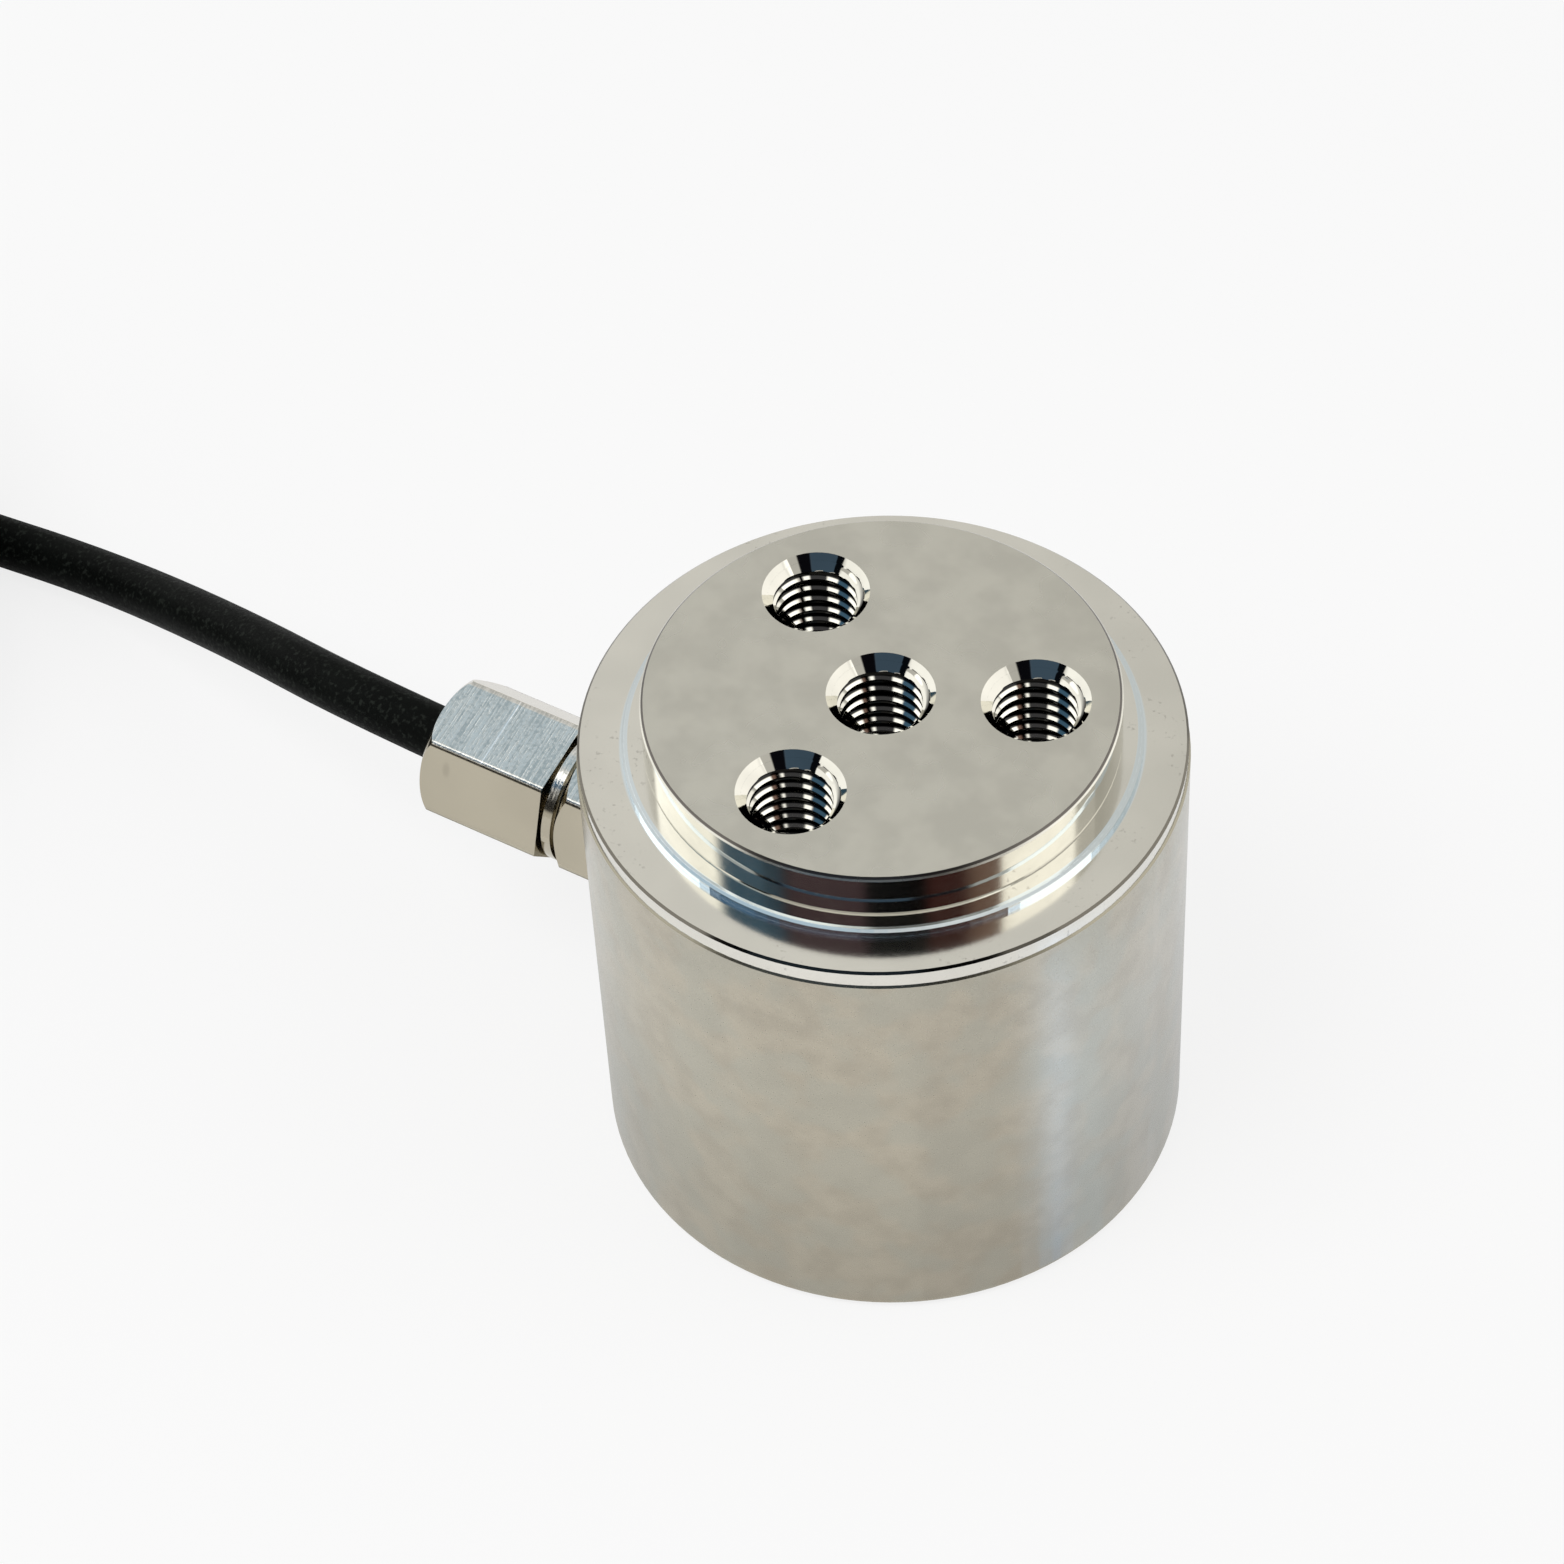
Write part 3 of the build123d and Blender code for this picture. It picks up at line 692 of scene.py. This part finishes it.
def plated_brass():
    """Bright plating, brushed on the hexagons' upper flats, which are painted paler and greyer as
    a painted reflection, with one cutter mark and a dent.
    """
    finish = Finish("plated_brass", (0.47, 0.43, 0.34), 0.14, 1.0, mottle=0.04,
                    grain_size=0.2 * mm, grain_depth=0.001 * mm)
    up = finish.step(finish.axis(finish.normal, "Z"), 0.6, 0.85)
    lines = finish.noise(0.16 * mm, (1, 40, 40), detail=3.0)
    grain = finish.math("MULTIPLY", finish.noise(0.3 * mm, detail=2.0), 0.6)
    streaks = finish.step(finish.math("ADD", lines, grain), 0.62, 0.98)
    # Painted reflection: the upward flats are painted paler and greyer than the plating, with the
    # brushed streaks in it
    streaks_and_painted_reflection = finish.mix(streaks, (0.58, 0.59, 0.57, 1), (0.82, 0.81, 0.78, 1))
    finish.colour = finish.mix(up, finish.colour, streaks_and_painted_reflection)
    scratch = finish.math("SUBTRACT", finish.axis(finish.place, "X"), scratch_place * mm)
    scratch = finish.math("ABSOLUTE", scratch)
    scratch = finish.step(scratch, scratch_width * mm, scratch_core * mm)
    scratch = finish.math("MULTIPLY", scratch, up)
    finish.colour = finish.mix(scratch, finish.colour, (1, 1, 1, 1))
    marks = finish.math("MULTIPLY", streaks, finish.math("MULTIPLY", up, 0.006 * mm))
    finish.height = finish.math("ADD", finish.height, marks)
    values = {0: finish.place, 1: Vector(dent_place) * mm}
    away = finish.add("VectorMath", values, operation="SUBTRACT").outputs[0]
    away = finish.add("VectorMath", {0: away, 1: (1, 0.5, 0.5)}, operation="MULTIPLY").outputs[0]
    away = finish.add("VectorMath", {0: away}, operation="LENGTH").outputs["Value"]
    dent = finish.step(away, dent_radius * mm, dent_core * mm)
    finish.colour = finish.mix(finish.math("MULTIPLY", dent, 0.25), finish.colour,
                               (0.22, 0.20, 0.16, 1))
    finish.height = finish.math("ADD", finish.height, rounded_corners(finish))
    return finish.apply()


def rounded_corners(finish):
    """Height that rounds the long edges of the gland's hexagons."""
    y = finish.axis(finish.place, "Y")
    z = finish.math("SUBTRACT", finish.axis(finish.place, "Z"), gland_height * mm)
    turn = finish.math("ARCTAN2", z, y)
    turn = finish.math("SUBTRACT", turn, radians(hexagon_turn) - pi / 6)
    side = finish.math("SUBTRACT", finish.math("FLOORED_MODULO", turn, pi / 3), pi / 6)
    across = finish.math("TANGENT", finish.math("ABSOLUTE", side))
    slope = cos(pi / 3) / cos(pi / 6)
    away = finish.math("SUBTRACT", slope, across)
    away = finish.math("MULTIPLY", away, hexagon_flat_radius * mm)
    left = finish.math("SUBTRACT", corner_rounding * mm, away)
    left = finish.math("MAXIMUM", left, 0.0)
    drop = finish.math("POWER", left, 2.0)
    drop = finish.math("MULTIPLY", drop, -slope / (2 * corner_rounding * mm))
    outward = finish.add("CombineXYZ", {1: y, 2: z}).outputs[0]
    values = {0: outward, 1: finish.normal}
    reach = finish.add("VectorMath", values, operation="DOT_PRODUCT").outputs["Value"]
    far, near = flat_margins
    on_flats = finish.step(reach, (hexagon_flat_radius - far) * mm,
                           (hexagon_flat_radius - near) * mm)
    return finish.math("MULTIPLY", drop, on_flats)


def cable_jacket():
    """Matt black jacket with a fine pale speckle."""
    finish = Finish("cable_jacket", (0.0028, 0.0034, 0.0030), 0.5, mottle=0.2,
                    grain_size=0.35 * mm, grain_depth=0.02 * mm)
    finish.shader.inputs["Specular IOR Level"].default_value = 0.03
    speckle = finish.step(finish.noise(0.45 * mm, detail=4.0), 0.52, 0.70, 0.0, 0.9)
    finish.colour = finish.mix(speckle, finish.colour, (0.016, 0.019, 0.016, 1))
    return finish.apply()


def gauge_film():
    """Amber film with the gauge's upright grid lines."""
    finish = Finish("gauge_film", (0.7, 0.4, 0.1), 0.35)
    across = finish.math("ADD", finish.axis(finish.place, "X"), finish.axis(finish.place, "Y"))
    grid = finish.stripes(across, gauge_grid_pitch * mm, 0.5)
    finish.colour = finish.mix(grid, finish.colour, (0.42, 0.40, 0.36, 1))
    return finish.apply()


def circuit_film():
    """Brown film with ring-shaped copper tracks."""
    finish = Finish("circuit_film", (0.45, 0.22, 0.06), 0.35)
    tracks = finish.stripes(finish.from_axis(), circuit_track_pitch * mm, 0.35)
    finish.colour = finish.mix(tracks, finish.colour, (0.72, 0.40, 0.20, 1))
    finish.height = finish.math("ADD", finish.height, finish.math("MULTIPLY", tracks, 0.03 * mm))
    return finish.apply()


# Colour, roughness and metal share of the slots without detail of their own
plain_finishes = {
    "enamelled_wire": ((0.5, 0.12, 0.05), 0.25, 0.3),
    "tinned_copper": ((0.75, 0.74, 0.72), 0.3, 1.0),
    "solder": ((0.7, 0.7, 0.7), 0.28, 1.0),
    "washer_rubber": ((0.03, 0.03, 0.03), 0.6, 0.0),
    "nylon": ((0.8, 0.79, 0.75), 0.45, 0.0),
    "seal_rubber": ((0.02, 0.02, 0.02), 0.5, 0.0),
    "tie_plastic": ((0.05, 0.05, 0.05), 0.45, 0.0),
    "shrink_sleeve": ((0.04, 0.04, 0.04), 0.4, 0.0),
    "grey_insulation": ((0.4, 0.4, 0.4), 0.4, 0.0),
    "red_insulation": ((0.6, 0.04, 0.03), 0.4, 0.0),
    "black_insulation": ((0.03, 0.03, 0.03), 0.4, 0.0),
    "green_insulation": ((0.03, 0.3, 0.08), 0.4, 0.0),
    "white_insulation": ((0.8, 0.8, 0.78), 0.4, 0.0),
    "terminal_copper": ((0.7, 0.42, 0.25), 0.35, 1.0),
    "resistor_ceramic": ((0.06, 0.06, 0.07), 0.4, 0.0),
}


def make_finishes():
    """One material for each slot of the record."""
    finishes = {
        "element_steel": element_steel(),
        "ring_steel": ring_steel(),
        "housing_steel": housing_steel(),
        "plated_brass": plated_brass(),
        "cable_jacket": cable_jacket(),
        "gauge_film": gauge_film(),
        "circuit_film": circuit_film(),
    }
    for slot, (colour, roughness, metallic) in plain_finishes.items():
        finishes[slot] = Finish(slot, colour, roughness, metallic).apply()
    return finishes


make_camera()
make_world()
make_floor()
for name, (first, last, colour) in floor_cards.items():
    make_card(name, first, last, colour)
for name, settings in lamps.items():
    make_lamp(name, *settings)
cable = make_cable()
threads = make_threads()
finishes = make_finishes()
for part in frame["record"]["subparts"]:
    slots = nodes[part["node"]].data.materials
    slots.clear()
    slots.append(finishes[part["material_slot"]])
cable.data.materials.append(finishes["cable_jacket"])
for thread in threads:
    thread.data.materials.append(finishes["element_steel"])
